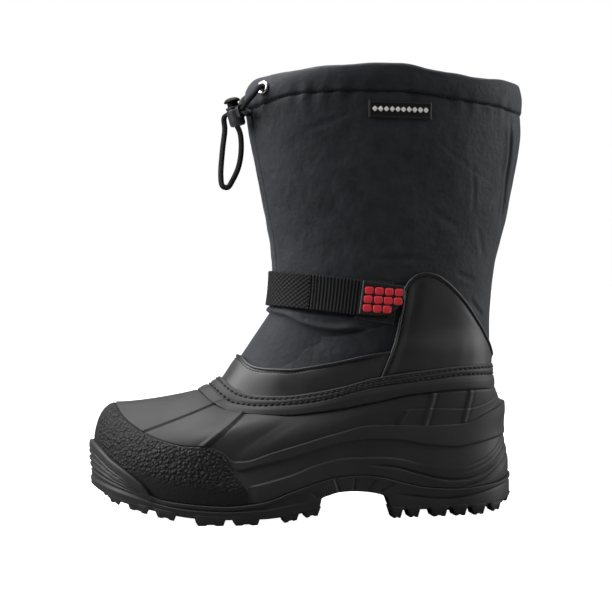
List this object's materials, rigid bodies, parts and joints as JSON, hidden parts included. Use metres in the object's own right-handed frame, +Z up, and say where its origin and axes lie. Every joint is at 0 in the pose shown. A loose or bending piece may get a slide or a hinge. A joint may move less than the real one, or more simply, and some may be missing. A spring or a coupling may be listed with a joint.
{
  "type": "duck boot",
  "caption": "Left insulated pull-on duck boot: moulded rubber shell, lugged sole, leather quarter, hollow nylon shaft, instep strap and a collar cord with a spring lock.",
  "frame": {"origin": "on the floor under the middle of the boot's box, the lowest lugs at z 0", "axes": "+Z up, the toe towards -X, the heel towards +X, the outer (lateral) side towards -Y"},
  "size_m": [0.319, 0.1188, 0.3216],
  "materials": {
    "outsole": "matte moulded rubber, fine tread",
    "insole": "grey felt",
    "rubber_shell": "matte moulded rubber, textured toe cap",
    "upper_shaft": "plain-woven nylon, padded, softly creased",
    "leather_vamp": "smooth leather with a satin sheen",
    "leather_quarter": "smooth leather with a satin sheen",
    "loop_pad": "black loop fastener tape",
    "instep_strap": "ribbed black webbing",
    "strap_badge": "moulded rubber tab with raised border",
    "woven_label": "black satin-woven label with sewn border",
    "eyelet_lateral": "pressed metal ring",
    "eyelet_medial": "pressed metal ring",
    "cord_lock_barrel": "black moulded plastic",
    "cord_lock_plunger": "black moulded plastic",
    "drawcord": "braided elastic cord"
  },
  "bodies": {
    "boot": {"outsole": "outsole", "insole": "insole", "rubber_shell": "rubber_shell", "upper_shaft": "upper_shaft", "leather_vamp": "leather_vamp", "leather_quarter": "leather_quarter", "loop_pad": "loop_pad", "instep_strap": "instep_strap", "strap_badge": "strap_badge", "woven_label": "woven_label", "eyelet_lateral": "eyelet_lateral", "eyelet_medial": "eyelet_medial", "cord_lock_barrel": "cord_lock_barrel", "drawcord": "drawcord"},
    "lock_plunger": {"cord_lock_plunger": "cord_lock_plunger"}
  },
  "joints": [
    {"name": "lock_press", "type": "slide", "parent": "boot", "child": "lock_plunger", "axis": [0.2519, 0, -0.9677], "range_m": [0, 0.003], "stiffness_N_per_m": 900, "springref_m": -0.001}
  ]
}
